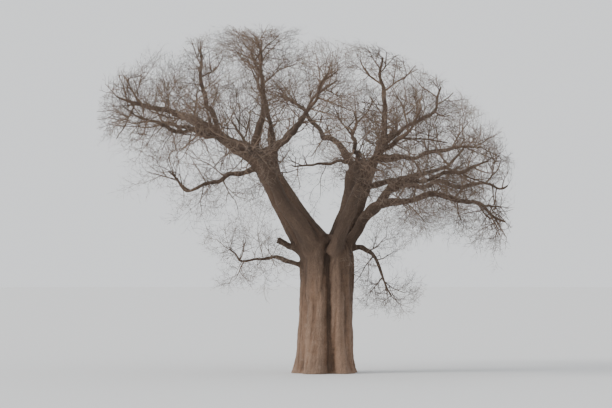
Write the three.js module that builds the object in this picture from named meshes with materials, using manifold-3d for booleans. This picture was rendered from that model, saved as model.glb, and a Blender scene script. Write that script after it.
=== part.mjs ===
import * as THREE from "three";
import { mergeVertices } from "three/addons/utils/BufferGeometryUtils.js";
import Module from "manifold-3d";

// A leafless baobab in the dry season, in millimetres, +Z up. The origin is the middle of the flat cut
// at ground level. +X is the tree's right hand as seen from the front, and +Y leads to its back.
// A bearing is in degrees from +X towards +Y, so the front of the tree is at 270.

const wasm = await Module();
wasm.setup();

const clear = 0.3; // the gap between two pieces that touch
const smooth = 20; // detail finer than this is smoothed out where twigs join

// The trunk: a fluted column, two fused stems in front, that swells at the foot.
const trunk = {
  radius: 1275,
  taper: 0.06, // lost from the radius between the foot and the neck
  lean: 90, // how far the neck stands to the right of the foot
  flare: 250, // added to the radius at ground level
  flareHeight: 620, // how far up two thirds of the flare has gone
  neckHeight: 5150, // where the head of the trunk starts to round over
  headHeight: 1050, // from the neck to the top of the head
  headSquareness: 2.2, // 2 is a round head, more is a squarer one
  sides: 36,
  rings: 10,
  ringCrowding: 1.25, // 1 spaces the rings by the sine of their number, more crowds them at the foot
};

// Folds that run up the trunk: bearing, half width in degrees, depth as a share of the radius.
const folds = [
  [277, 13, 0.24],
  [318, 11, 0.07],
  [352, 12, 0.1],
  [35, 13, 0.09],
  [82, 10, 0.13],
  [126, 13, 0.08],
  [167, 12, 0.11],
  [214, 12, 0.08],
  [246, 9, 0.05],
];
const foldDrift = 6; // degrees that a fold wanders to one side at the foot and the other at the neck
const toes = { count: 5, bearing: 174, share: 0.4 }; // the flare swells and shrinks round the foot

// The crown: twigs stay under this dome, an ellipsoid that leans up to the left.
const crown = { x: -850, z: 10100, halfWidth: 9700, halfDepth: 8750, rise: 5290, tilt: 11 };

// Every limb: name, what it grows from, where (a height on the trunk, or a share along the limb),
// bearing, reach and height of its tip from the trunk's foot, the rise in degrees where it leaves
// and where it ends, its radius at foot and tip, and the radius of the space that its twigs fill.
const limbTable = [
  ["left_limb", "trunk", 5450, 183, 7350, 11750, 57, 12, 720, 115, 2500],
  ["right_high_limb", "trunk", 5350, 14, 2700, 12200, 74, 96, 330, 110, 2400],
  ["right_low_limb", "trunk", 5150, 353, 6320, 7650, 72, -12, 270, 100, 2350],
  ["front_limb", "trunk", 5400, 222, 6700, 10600, 57, 18, 420, 110, 2500],
  ["front_right_limb", "trunk", 5300, 300, 6000, 10100, 60, 22, 320, 105, 2500],
  ["back_limb", "trunk", 5450, 60, 6300, 11000, 62, 24, 400, 110, 2500],
  ["back_left_limb", "trunk", 5350, 133, 6700, 10600, 57, 18, 360, 105, 2500],
  ["back_right_limb", "trunk", 5250, 35, 6200, 9200, 56, 12, 300, 105, 2500],
  ["low_left_limb", "trunk", 4750, 188, 3330, 5050, 22, -10, 125, 60, 1500],
  ["low_right_limb", "trunk", 5500, 350, 2480, 4550, 30, -68, 150, 70, 1500],
  ["broken_stub", "trunk", 5300, 190, 2200, 5960, 30, 34, 190, 130, 0],
  ["left_rising_limb", "left_limb", 0.47, 198, 2900, 12450, 66, 96, 190, 95, 2350],
  ["middle_limb", "left_limb", 0.43, 133, 1100, 11950, 38, 66, 180, 95, 2350],
  ["left_low_limb", "left_limb", 0.35, 190, 5700, 8300, 8, -10, 165, 80, 2000],
  ["left_top_limb", "left_limb", 0.72, 171, 5600, 13000, 72, 82, 130, 85, 2100],
  ["left_back_limb", "left_limb", 0.6, 158, 7600, 11300, 26, 14, 150, 85, 2300],
  ["left_front_limb", "left_limb", 0.64, 202, 7700, 10900, 18, 16, 150, 85, 2300],
  ["right_limb", "right_high_limb", 0.58, 352, 5250, 9900, 2, 18, 150, 85, 2200],
  ["inner_limb", "right_high_limb", 0.5, 240, 950, 9300, 14, -2, 105, 65, 1500],
  ["right_top_limb", "right_high_limb", 0.72, 10, 4500, 11500, 42, 36, 140, 85, 2200],
  ["front_top_limb", "front_limb", 0.38, 226, 3900, 12700, 74, 66, 150, 85, 2200],
  ["front_middle_limb", "front_limb", 0.54, 264, 5600, 11600, 34, 44, 170, 90, 2400],
  ["front_left_limb", "front_limb", 0.62, 241, 6700, 9800, 18, 12, 160, 85, 2400],
  ["front_far_limb", "front_right_limb", 0.56, 281, 6500, 10000, 26, 20, 150, 85, 2300],
  ["front_side_limb", "front_right_limb", 0.46, 325, 6500, 8700, 14, 12, 145, 85, 2300],
  ["back_middle_limb", "back_limb", 0.48, 98, 5700, 11900, 54, 50, 165, 90, 2400],
  ["back_far_limb", "back_limb", 0.6, 76, 6800, 9700, 12, 10, 150, 85, 2300],
  ["back_top_limb", "back_left_limb", 0.42, 134, 4200, 12700, 72, 66, 150, 85, 2300],
  ["back_side_limb", "back_left_limb", 0.6, 112, 6700, 9400, 14, 8, 145, 85, 2300],
  ["right_side_limb", "back_right_limb", 0.56, 14, 6900, 8500, 12, 6, 145, 85, 2300],
];
const limb = {
  footShare: 0.86, // of the trunk's radius: how far out a limb's upper side begins
  collar: 1500, // of each limb, from its foot, that belongs to the trunk
  shallow: 200, // a limb thinner than this leaves the trunk's side and has no collar
  step: 1080, // length of a limb's straight stretches
  leastSteps: 4,
  crowding: 1.15, // how much shorter the stretches are near the foot
  footHold: 0.5, // of the chord: how long a limb holds the direction it leaves in
  tipHold: 0.4, // and the direction it ends in
  taper: 1.25, // 1 is an even taper, more is faster near the foot
  trunkSwell: 0.16, // added to a limb's radius at its foot, as a share, on the trunk
  limbSwell: 0.45, // and on another limb
  swellReach: 1.6, // how far that swelling runs up the limb, in radii
  sway: 0.028, // of the chord: how far a limb wanders off its curve
  turns: [1, 1.7], // how often it does so, least and most
  riseRate: 1.3, // how much faster it rises and sinks than it swings
  thick: 250, // a limb whose foot is thicker than this has more sides
  sides: [6, 8],
};

// How twigs grow, for one order after another. An order's numbers: twigs on each parent, steps,
// sides, length as a share of the parent's, and radius as a share of the parent's where it leaves.
const orders = [
  { twigs: 1, steps: 3, sides: 5, length: 0.82, girth: 1 },
  { twigs: 5, steps: 2, sides: 3, length: 0.86, girth: 0.74 },
  { twigs: 3, steps: 1, sides: 3, length: 0.76, girth: 0.74 },
];
const twig = {
  taper: 0.42, // radius at the end of a twig, as a share of the radius at its foot
  firstBud: 0.22, // share along a twig of its first side twig
  bunching: 0.7, // how unevenly the side twigs are spaced
  angles: [68, 34], // degrees between a twig and its side twigs, from its foot to its end
  angleRange: [0.8, 1.2], // shares of that angle, and of the length below, that chance picks from
  lengthRange: [0.8, 1.15],
  shrink: [1.15, 0.85], // side twigs get shorter from a twig's foot to its end
  crook: 0.62, // how far each step strays
  lift: 0.1, // how far each step turns up
  goldenTurn: 137.5, // degrees round a twig from one side twig to the next
  nextTry: 100, // degrees further round for each further try
  tries: 6, // sides that a twig is tried on before it is skipped
  shorten: 0.1, // of its length, lost on each further try
  margin: 25, // least distance to another mass or to a limb
  lowest: 2300, // no twig hangs lower than this
  heart: 0.62, // share along a mass's stem of the middle of its space
};

const up = new THREE.Vector3(0, 0, 1);
const right = new THREE.Vector3(1, 0, 0);
const rad = THREE.MathUtils.degToRad;
const deg = THREE.MathUtils.radToDeg;
const mix = THREE.MathUtils.lerp;

// A repeatable number from 0 to 1 for a twig's or a limb's key and the use that it is put to.
const uses = { turns: 1, phase: 2, share: 3, length: 4, roll: 5, angle: 6, crook: 10, child: 500 };
const mostKeys = 2147483647;
function chance(key, use) {
  let h = Math.imul(key ^ 0x9e3779b9, 0x85ebca6b) + Math.imul(use + 1, 0xc2b2ae35);
  h = Math.imul(h ^ (h >>> 15), 0x2c1b3c6d);
  h = Math.imul(h ^ (h >>> 12), 0x297a2d39);
  return ((h ^ (h >>> 15)) >>> 0) / 4294967296;
}

function polar(bearing, reach, height) {
  return new THREE.Vector3(Math.cos(rad(bearing)) * reach, Math.sin(rad(bearing)) * reach, height);
}

// A unit vector that rises by so many degrees over a bearing.
function heading(bearing, rise) {
  return polar(bearing, Math.cos(rad(rise)), Math.sin(rad(rise)));
}

// A level direction across a unit vector.
function anyAcross(ahead) {
  const nearlyUpright = Math.abs(ahead.z) > 0.9;
  return new THREE.Vector3().crossVectors(ahead, nearlyUpright ? right : up).normalize();
}

// Two directions across each stretch of a path, carried along it without a twist.
function framesAlong(points) {
  const frames = [];
  let side = anyAcross(points[1].clone().sub(points[0]).normalize());
  points.forEach((point, i) => {
    const before = points[Math.max(i - 1, 0)];
    const after = points[Math.min(i + 1, points.length - 1)];
    const ahead = after.clone().sub(before).normalize();
    side = side.clone().addScaledVector(ahead, -side.dot(ahead)).normalize();
    frames.push({ side, over: side.clone().cross(ahead) });
  });
  return frames;
}

// A round, tapering tube: a cylinder whose rings are set along a path. Its last ring can be a point.
function tubeAlong(points, radii, sides) {
  const steps = points.length - 1;
  const pointed = radii[steps] === 0;
  const geometry = new THREE.CylinderGeometry(pointed ? 0 : 1, 1, 1, sides, steps);
  const frames = framesAlong(points);
  const place = geometry.attributes.position;
  const spot = new THREE.Vector3();
  for (let i = 0; i < place.count; i += 1) {
    spot.fromBufferAttribute(place, i);
    const ring = Math.round((spot.y + 0.5) * steps);
    const out = Math.hypot(spot.x, spot.z) || 1;
    const radius = Math.hypot(spot.x, spot.z) < 1e-6 ? 0 : radii[ring];
    const { side, over } = frames[ring];
    const next = points[ring].clone();
    next.addScaledVector(side, (spot.x / out) * radius);
    next.addScaledVector(over, (spot.z / out) * radius);
    place.setXYZ(i, next.x, next.y, next.z);
  }
  return geometry;
}

function toSolid(geometry) {
  geometry.deleteAttribute("normal");
  geometry.deleteAttribute("uv");
  const merged = mergeVertices(geometry, 1e-3);
  const mesh = new wasm.Mesh({
    numProp: 3,
    vertProperties: merged.attributes.position.array,
    triVerts: new Uint32Array(merged.index.array),
  });
  return new wasm.Manifold(mesh);
}

// The largest body of a solid as a geometry. Scraps that a cut leaves are dropped.
function toGeometry(solid) {
  const bodies = solid.decompose().sort((a, b) => b.volume() - a.volume());
  const mesh = bodies[0].getMesh();
  const geometry = new THREE.BufferGeometry();
  geometry.setAttribute("position", new THREE.BufferAttribute(mesh.vertProperties, 3));
  geometry.setIndex(new THREE.BufferAttribute(mesh.triVerts, 1));
  return geometry;
}

// The trunk's radius at a height and a bearing, with its folds and the toes of its foot.
function trunkRadius(height, bearing, skin) {
  const wander = foldDrift * Math.cos((height / trunk.neckHeight) * Math.PI);
  let share = 1;
  for (const [at, width, depth] of folds) {
    const away = THREE.MathUtils.euclideanModulo(bearing - at - wander + 180, 360) - 180;
    share -= depth * Math.exp(-((away / width) ** 2));
  }
  const flare = trunk.flare * Math.exp(-height / trunk.flareHeight);
  const toe = 1 + toes.share * Math.cos(rad((bearing - toes.bearing) * toes.count));
  const over = Math.max(0, (height - trunk.neckHeight) / trunk.headHeight);
  const dome = Math.sqrt(Math.max(0, 1 - over ** trunk.headSquareness));
  const column = trunk.radius * (1 - (trunk.taper * height) / trunk.neckHeight);
  return (column * share + flare * toe) * dome + skin;
}

// The trunk without its collars, with its skin moved out by so much.
function trunkColumn(skin) {
  const top = trunk.neckHeight + trunk.headHeight;
  const { sides, rings } = trunk;
  const geometry = new THREE.CylinderGeometry(0, 1, 1, sides, rings);
  const place = geometry.attributes.position;
  const spot = new THREE.Vector3();
  for (let i = 0; i < place.count; i += 1) {
    spot.fromBufferAttribute(place, i);
    const share = THREE.MathUtils.clamp(spot.y + 0.5, 0, 1);
    const height = top * Math.sin((share * Math.PI) / 2) ** trunk.ringCrowding;
    const bearing = deg(Math.atan2(-spot.z, spot.x));
    const onAxis = Math.hypot(spot.x, spot.z) < 1e-6;
    const next = polar(bearing, onAxis ? 0 : trunkRadius(height, bearing, skin), height);
    place.setXYZ(i, next.x + (trunk.lean * height) / trunk.neckHeight, next.y, next.z);
  }
  return geometry;
}

// A limb's path, with its radii: a cubic curve that wanders a little.
function makeLimb(row, key, limbs) {
  const [name, from, at, bearing, reach, height, leave, arrive, girth, tip, spread] = row;
  const onTrunk = from === "trunk";
  const forks = onTrunk && girth >= limb.shallow;
  const end = polar(bearing, reach, height);
  const footReach = trunk.radius * limb.footShare - girth;
  const foot = onTrunk ? polar(bearing, footReach, at) : limbs[from].pointAt(at);
  const chord = end.clone().sub(foot);
  const length = chord.length();
  const course = deg(Math.atan2(chord.y, chord.x));
  const afterFoot = foot.clone().addScaledVector(heading(course, leave), limb.footHold * length);
  const beforeEnd = end.clone().addScaledVector(heading(course, arrive), -limb.tipHold * length);
  const curve = new THREE.CubicBezierCurve3(foot, afterFoot, beforeEnd, end);
  const across = anyAcross(chord.clone().normalize());
  const turns = mix(...limb.turns, chance(key, uses.turns));
  const phase = chance(key, uses.phase);

  const pointAt = (share) => {
    const angle = Math.PI * 2 * (share * turns + phase);
    const off = length * limb.sway * Math.sin(Math.PI * share);
    const point = curve.getPoint(share).addScaledVector(across, off * Math.sin(angle));
    return point.addScaledVector(up, off * Math.cos(angle * limb.riseRate));
  };
  const radiusAt = (share) => {
    const swell = onTrunk ? limb.trunkSwell : limb.limbSwell;
    const swollen = 1 + swell * Math.exp((-share * length) / (limb.swellReach * girth));
    return mix(tip, girth, (1 - share) ** limb.taper) * swollen;
  };
  const steps = Math.max(limb.leastSteps, Math.round(length / limb.step));
  const shares = Array.from({ length: steps + 1 }, (_, i) => (i / steps) ** limb.crowding);
  const points = shares.map(pointAt);
  const radii = shares.map(radiusAt);
  return { name, from, onTrunk, forks, key, girth, tip, spread, length, points, radii, pointAt };
}

// A limb's tube from foot to tip, with its skin moved out by so much.
function limbTube({ points, radii, girth }, skin = 0) {
  const sides = limb.sides[girth > limb.thick ? 1 : 0];
  const grown = radii.map((radius) => radius + skin / Math.cos(Math.PI / sides));
  return toSolid(tubeAlong(points, grown, sides));
}

// A limb of the fork in two: the collar that the trunk keeps, and the rest beyond a flat joint.
function splitAtCollar(forked, skin = 0) {
  const share = limb.collar / forked.length;
  const joint = forked.pointAt(share);
  const ahead = forked.pointAt(share + 0.01).sub(joint).normalize();
  const offset = ahead.dot(joint);
  const tube = limbTube(forked, skin);
  return {
    collar: tube.trimByPlane(ahead.clone().negate().toArray(), -offset),
    rest: tube.trimByPlane(ahead.toArray(), offset + clear),
  };
}

// The straight stretches of a limb or a twig, for others to keep clear of.
function stretchesOf({ points, radii }) {
  return points.slice(1).map((b, i) => ({ line: new THREE.Line3(points[i], b), radius: radii[i] }));
}

const nearest = new THREE.Vector3();
function touches(point, radius, stretches) {
  return stretches.some(({ line, radius: thick }) => {
    line.closestPointToPoint(point, true, nearest);
    return nearest.distanceTo(point) < thick + radius + twig.margin;
  });
}

// Whether a point lies under the dome of the crown. The dome has no floor.
function inCrown(point, radius) {
  const across = point.x - crown.x;
  const over = point.z - crown.z;
  const along = across * Math.cos(rad(crown.tilt)) - over * Math.sin(rad(crown.tilt));
  const rise = across * Math.sin(rad(crown.tilt)) + over * Math.cos(rad(crown.tilt));
  const wide = along / (crown.halfWidth - radius);
  const deep = point.y / (crown.halfDepth - radius);
  const high = Math.max(rise, 0) / (crown.rise - radius);
  return Math.hypot(wide, deep, high) < 1;
}

// Whether a point lies in a mass's own space: its ball, cut by the planes between it and its neighbours.
function inSpace(point, radius, own, spaces) {
  const beyond = (space) => point.distanceToSquared(space.centre) - space.radius ** 2;
  const mine = beyond(own);
  if (mine > -2 * own.radius * radius) return false;
  if (!inCrown(point, radius) || point.z < twig.lowest) return false;
  return spaces.every((other) => {
    if (other === own) return true;
    const room = (beyond(other) - mine) / (2 * other.centre.distanceTo(own.centre));
    return room > radius + twig.margin;
  });
}

// One twig: a short path that strays a little at each step and turns up.
function makeTwig(key, order, start, direction, length, thickness) {
  const { steps } = orders[order];
  const points = [start.clone()];
  const radii = [thickness];
  const ahead = direction.clone();
  for (let step = 1; step <= steps; step += 1) {
    const stray = [0, 1, 2].map((axis) => (chance(key, uses.crook + step * 3 + axis) - 0.5) * twig.crook);
    ahead.add(new THREE.Vector3(...stray)).addScaledVector(up, twig.lift).normalize();
    points.push(points[step - 1].clone().addScaledVector(ahead, length / steps));
    radii.push(thickness * mix(1, twig.taper, step / steps));
  }
  return { key, order, points, radii, length };
}

// The point, radius and direction at a share along a twig.
function alongTwig({ points, radii }, share) {
  const place = share * (points.length - 1);
  const i = Math.min(Math.floor(place), points.length - 2);
  return {
    point: points[i].clone().lerp(points[i + 1], place - i),
    radius: mix(radii[i], radii[i + 1], place - i),
    ahead: points[i + 1].clone().sub(points[i]).normalize(),
  };
}

// A side twig: it is tried round its parent until it keeps to its space and clear of the limbs.
function budTwig(parent, bud, fits) {
  const order = parent.order + 1;
  const { twigs, length, girth } = orders[order];
  const key = Math.floor(chance(parent.key, uses.child + bud) * mostKeys);
  const atEnd = bud === twigs - 1;
  const place = (bud + twig.bunching * chance(key, uses.share)) / twigs;
  const share = atEnd ? 1 : mix(twig.firstBud, 1, place);
  const { point, radius, ahead } = alongTwig(parent, share);
  const chosen = mix(...twig.lengthRange, chance(key, uses.length));
  const reach = parent.length * length * mix(...twig.shrink, share) * chosen;
  const lean = rad(mix(...twig.angles, share) * mix(...twig.angleRange, chance(key, uses.angle)));
  const firstRoll = chance(parent.key, uses.roll) * 360 + bud * twig.goldenTurn;
  for (let turn = 0; turn < twig.tries; turn += 1) {
    const roll = rad(firstRoll + turn * twig.nextTry);
    const out = ahead.clone().applyAxisAngle(anyAcross(ahead), lean).applyAxisAngle(ahead, roll);
    const child = makeTwig(key, order, point, out, reach * (1 - turn * twig.shorten), radius * girth);
    if (fits(child)) return child;
  }
  return null;
}

// Every twig of the mass that grows on from a stem, to the last order.
function growMass(stem, own, spaces, stretches) {
  const clearAt = (spot, radius) => !touches(spot, radius, stretches) && inSpace(spot, radius, own, spaces);
  const fits = ({ points, radii }) => points.every((point, i) => i === 0 || clearAt(point, radii[i]));
  const grown = [stem];
  for (const parent of grown) {
    const next = orders[parent.order + 1];
    for (let bud = 0; next && bud < next.twigs; bud += 1) {
      const child = budTwig(parent, bud, fits);
      if (child) grown.push(child);
    }
  }
  return grown;
}

// The first twig of a mass, straight on from the flat tip of its limb.
function makeStem({ key, points, tip, spread }) {
  const [before, end] = points.slice(-2);
  const ahead = end.clone().sub(before).normalize();
  const start = end.clone().addScaledVector(ahead, clear);
  const stem = makeTwig(key, 0, start, ahead, spread * orders[0].length, tip);
  stem.points[1].copy(start).addScaledVector(ahead, stem.length / orders[0].steps);
  return stem;
}

// A twig's tube. One of the last order ends in a point.
function twigTube({ points, radii, order }) {
  const last = order === orders.length - 1;
  const thick = last ? [...radii.slice(0, -1), 0] : radii;
  return toSolid(tubeAlong(points, thick, orders[order].sides));
}

const bark = new THREE.MeshStandardMaterial({ color: 0x8a7468, roughness: 0.9, metalness: 0 });
const limbBark = new THREE.MeshStandardMaterial({ color: 0x76655a, roughness: 0.9, metalness: 0 });
const twigBark = new THREE.MeshStandardMaterial({ color: 0x5f544c, roughness: 0.95, metalness: 0 });

const tree = new THREE.Group();
function add(name, solid, material) {
  const mesh = new THREE.Mesh(toGeometry(solid), material);
  mesh.name = name;
  tree.add(mesh);
}

const limbs = {};
limbTable.forEach((row, i) => {
  limbs[row[0]] = makeLimb(row, i + 101, limbs);
});
const allLimbs = Object.values(limbs);

// The trunk, with the collars of the limbs that it forks into.
function makeTrunk(skin = 0) {
  const collars = allLimbs.filter((each) => each.forks).map((each) => splitAtCollar(each, skin).collar);
  return wasm.Manifold.union([toSolid(trunkColumn(skin)), ...collars]);
}
add("trunk", makeTrunk(), bark);

for (const each of allLimbs) {
  if (each.forks) {
    add(each.name, splitAtCollar(each).rest, limbBark);
  } else {
    const host = each.onTrunk ? makeTrunk(clear) : limbTube(limbs[each.from], clear);
    add(each.name, limbTube(each).subtract(host), limbBark);
  }
}

const masses = allLimbs.filter((each) => each.spread > 0).map((each) => {
  const stem = makeStem(each);
  const centre = stem.points[0].clone().lerp(stem.points.at(-1), twig.heart);
  return { name: each.name.replace("_limb", "_twigs"), stem, centre, radius: each.spread };
});
for (const mass of masses) {
  const others = masses.filter((other) => other !== mass).map((other) => other.stem);
  const stretches = [...allLimbs, ...others].flatMap(stretchesOf);
  const twigs = growMass(mass.stem, mass, masses, stretches);
  add(mass.name, wasm.Manifold.union(twigs.map(twigTube)).simplify(smooth), twigBark);
}

export default tree;
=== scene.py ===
# A leafless baobab in the dry season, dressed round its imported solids. Metres, +Z up.
# The origin is the middle of the flat cut at ground level, and the front of the tree looks to -Y.

import math
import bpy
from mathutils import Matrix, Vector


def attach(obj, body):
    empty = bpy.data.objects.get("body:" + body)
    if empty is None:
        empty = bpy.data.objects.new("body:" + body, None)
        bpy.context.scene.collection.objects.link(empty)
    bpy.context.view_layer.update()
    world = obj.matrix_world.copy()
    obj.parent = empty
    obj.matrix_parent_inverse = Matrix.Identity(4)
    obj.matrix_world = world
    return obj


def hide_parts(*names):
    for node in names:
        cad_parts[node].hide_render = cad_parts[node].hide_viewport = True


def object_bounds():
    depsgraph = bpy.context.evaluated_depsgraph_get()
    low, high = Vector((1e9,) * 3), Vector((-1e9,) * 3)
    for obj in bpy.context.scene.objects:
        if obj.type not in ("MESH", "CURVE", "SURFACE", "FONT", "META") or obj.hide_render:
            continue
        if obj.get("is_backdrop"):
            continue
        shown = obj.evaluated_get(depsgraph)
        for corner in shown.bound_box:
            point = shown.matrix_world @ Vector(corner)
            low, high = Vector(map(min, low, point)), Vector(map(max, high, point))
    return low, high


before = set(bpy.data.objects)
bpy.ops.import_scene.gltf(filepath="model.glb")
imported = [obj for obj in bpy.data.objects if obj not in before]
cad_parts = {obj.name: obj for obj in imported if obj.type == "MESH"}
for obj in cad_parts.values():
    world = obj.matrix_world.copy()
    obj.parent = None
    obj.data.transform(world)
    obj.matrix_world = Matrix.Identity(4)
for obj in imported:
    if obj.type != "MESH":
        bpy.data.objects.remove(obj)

from types import SimpleNamespace

import bmesh
import bpy
import numpy as np
from mathutils import Matrix, Vector, noise

cadLow, cadHigh = (np.array(corner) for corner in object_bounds())
print("frame:", len(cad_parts), "solids, from", cadLow.round(2), "to", cadHigh.round(2))

# The rule that the solids grow by. A bearing is in degrees from +X towards +Y.
trunkForm = {
    "radius": 1.275,
    "taper": 0.06,  # lost from the radius between the foot and the neck
    "lean": 0.09,  # how far the neck stands to the right of the foot
    "flare": 0.25,  # added to the radius at ground level
    "flareHeight": 0.62,
    "neckHeight": 5.15,
    "headHeight": 1.05,
    "headSquareness": 2.2,
    "toes": (5, 174, 0.4),  # how many, bearing of one, share of the flare
    "foldDrift": 6,  # degrees that a fold wanders to one side at the foot and the other at the neck
    "folds": [  # bearing, half width in degrees, depth as a share of the radius
        (277, 13, 0.24),
        (318, 11, 0.07),
        (352, 12, 0.1),
        (35, 13, 0.09),
        (82, 10, 0.13),
        (126, 13, 0.08),
        (167, 12, 0.11),
        (214, 12, 0.08),
        (246, 9, 0.05),
    ],
}

# Every limb: name, what it grows from, where (a height on the trunk, or a share along the limb),
# bearing, reach and height of its tip, the rise in degrees where it leaves and where it ends,
# its radius at foot and tip, and the radius of the space that its twigs fill.
limbRows = [
    ("left_limb", "trunk", 5.45, 183, 7.35, 11.75, 57, 12, 0.72, 0.115, 2.5),
    ("right_high_limb", "trunk", 5.35, 14, 2.7, 12.2, 74, 96, 0.33, 0.11, 2.4),
    ("right_low_limb", "trunk", 5.15, 353, 6.32, 7.65, 72, -12, 0.27, 0.1, 2.35),
    ("front_limb", "trunk", 5.4, 222, 6.7, 10.6, 57, 18, 0.42, 0.11, 2.5),
    ("front_right_limb", "trunk", 5.3, 300, 6.0, 10.1, 60, 22, 0.32, 0.105, 2.5),
    ("back_limb", "trunk", 5.45, 60, 6.3, 11.0, 62, 24, 0.4, 0.11, 2.5),
    ("back_left_limb", "trunk", 5.35, 133, 6.7, 10.6, 57, 18, 0.36, 0.105, 2.5),
    ("back_right_limb", "trunk", 5.25, 35, 6.2, 9.2, 56, 12, 0.3, 0.105, 2.5),
    ("low_left_limb", "trunk", 4.75, 188, 3.33, 5.05, 22, -10, 0.125, 0.06, 1.5),
    ("low_right_limb", "trunk", 5.5, 350, 2.48, 4.55, 30, -68, 0.15, 0.07, 1.5),
    ("broken_stub", "trunk", 5.3, 190, 2.2, 5.96, 30, 34, 0.19, 0.13, 0),
    ("left_rising_limb", "left_limb", 0.47, 198, 2.9, 12.45, 66, 96, 0.19, 0.095, 2.35),
    ("middle_limb", "left_limb", 0.43, 133, 1.1, 11.95, 38, 66, 0.18, 0.095, 2.35),
    ("left_low_limb", "left_limb", 0.35, 190, 5.7, 8.3, 8, -10, 0.165, 0.08, 2.0),
    ("left_top_limb", "left_limb", 0.72, 171, 5.6, 13.0, 72, 82, 0.13, 0.085, 2.1),
    ("left_back_limb", "left_limb", 0.6, 158, 7.6, 11.3, 26, 14, 0.15, 0.085, 2.3),
    ("left_front_limb", "left_limb", 0.64, 202, 7.7, 10.9, 18, 16, 0.15, 0.085, 2.3),
    ("right_limb", "right_high_limb", 0.58, 352, 5.25, 9.9, 2, 18, 0.15, 0.085, 2.2),
    ("inner_limb", "right_high_limb", 0.5, 240, 0.95, 9.3, 14, -2, 0.105, 0.065, 1.5),
    ("right_top_limb", "right_high_limb", 0.72, 10, 4.5, 11.5, 42, 36, 0.14, 0.085, 2.2),
    ("front_top_limb", "front_limb", 0.38, 226, 3.9, 12.7, 74, 66, 0.15, 0.085, 2.2),
    ("front_middle_limb", "front_limb", 0.54, 264, 5.6, 11.6, 34, 44, 0.17, 0.09, 2.4),
    ("front_left_limb", "front_limb", 0.62, 241, 6.7, 9.8, 18, 12, 0.16, 0.085, 2.4),
    ("front_far_limb", "front_right_limb", 0.56, 281, 6.5, 10.0, 26, 20, 0.15, 0.085, 2.3),
    ("front_side_limb", "front_right_limb", 0.46, 325, 6.5, 8.7, 14, 12, 0.145, 0.085, 2.3),
    ("back_middle_limb", "back_limb", 0.48, 98, 5.7, 11.9, 54, 50, 0.165, 0.09, 2.4),
    ("back_far_limb", "back_limb", 0.6, 76, 6.8, 9.7, 12, 10, 0.15, 0.085, 2.3),
    ("back_top_limb", "back_left_limb", 0.42, 134, 4.2, 12.7, 72, 66, 0.15, 0.085, 2.3),
    ("back_side_limb", "back_left_limb", 0.6, 112, 6.7, 9.4, 14, 8, 0.145, 0.085, 2.3),
    ("right_side_limb", "back_right_limb", 0.56, 14, 6.9, 8.5, 12, 6, 0.145, 0.085, 2.3),
]
limbForm = {
    "footShare": 0.86,  # of the trunk's radius: how far out a limb's upper side begins
    "collar": 1.5,  # of each forked limb, from its foot, that belongs to the trunk
    "shallow": 0.2,  # a limb thinner than this leaves the trunk's side and has no collar
    "step": 1.08,
    "leastSteps": 4,
    "crowding": 1.15,
    "footHold": 0.5,
    "tipHold": 0.4,
    "taper": 1.25,
    "trunkSwell": 0.16,
    "limbSwell": 0.45,
    "swellReach": 1.6,
    "sway": 0.028,
    "turns": (1, 1.7),
    "riseRate": 1.3,
    "firstKey": 101,
}
# A limb of the trunk has one piece for its twigs and for those of the limbs that grow from it.
# These three limbs have a piece of their own.
twigBunches = {"left_rising_limb": "left_high", "middle_limb": "left_high", "left_top_limb": "left_high"}

# Names for the uses that a chance is put to, and the number that each has in the rule
useTurns, usePhase, useShare, useLength, useRoll, useAngle, useTint, useLight = 1, 2, 3, 4, 5, 6, 7, 8
useCrook, useWaver, useSplinter, useReach, useRank, useChild = 10, 40, 60, 108, 208, 500
mostKeys = 2147483647  # the greatest key
upward = np.array([0.0, 0.0, 1.0])


def chance(keys, use):
    # a repeatable number from 0 to 1 for a key and a use, on 32-bit whole numbers
    low = np.uint64(0xFFFFFFFF)
    keys = np.asarray(keys, np.uint64)
    use = np.asarray(use, np.uint64)
    mixed = (keys ^ np.uint64(0x9E3779B9)) * np.uint64(0x85EBCA6B)
    mixed = (mixed + (use + np.uint64(1)) * np.uint64(0xC2B2AE35)) & low
    mixed = ((mixed ^ (mixed >> np.uint64(15))) * np.uint64(0x2C1B3C6D)) & low
    mixed = ((mixed ^ (mixed >> np.uint64(12))) * np.uint64(0x297A2D39)) & low
    return (mixed ^ (mixed >> np.uint64(15))) / 2.0**32


def mix(start, end, share):
    return start + (end - start) * share


def unit(vectors):
    return vectors / np.linalg.norm(vectors, axis=-1, keepdims=True)


def polar(bearing, reach, height):
    angle = math.radians(bearing)
    return np.array([math.cos(angle) * reach, math.sin(angle) * reach, height])


def heading(bearing, rise):
    return polar(bearing, math.cos(math.radians(rise)), math.sin(math.radians(rise)))


swayForm = {
    "firstKey": 900,
    "waves": 7,
    "long": (0.4, 1.7),
    "height": 0.026,  # of a wave, for each metre that it is long
    "hem": 0.004,  # how near anything comes to a face of the solids' box
    "soft": 0.02,  # the space before the hem in which it is pressed together
}


def pressed(inward):
    # what comes near a face of the solids' box, or past it, is pressed together short of it, never flat
    soft = swayForm["soft"]
    near = np.minimum(inward - swayForm["hem"], soft)
    return inward - near + soft * np.exp((near - soft) / soft)


def swayed(spots):
    # the slow sway of everything thin: one field for limbs and twigs, so what is joined stays joined
    moved = spots.copy()
    for wave in range(swayForm["waves"]):
        draws = chance(swayForm["firstKey"] + wave, np.arange(7))
        way = unit(draws[:3] - 0.5)
        push = unit(draws[3:6] - 0.5)
        long = mix(*swayForm["long"], wave / (swayForm["waves"] - 1))
        lift = np.sin((spots @ way / long + draws[6]) * 2 * math.pi) * swayForm["height"] * long
        moved += push * lift[:, None]
    moved = cadLow + pressed(moved - cadLow)
    return cadHigh - pressed(cadHigh - moved)


def anyAcross(ahead):
    # a level direction across each unit vector
    other = np.where(np.abs(ahead[..., 2:]) > 0.9, [1.0, 0.0, 0.0], [0.0, 0.0, 1.0])
    return unit(np.cross(ahead, other))


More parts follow.
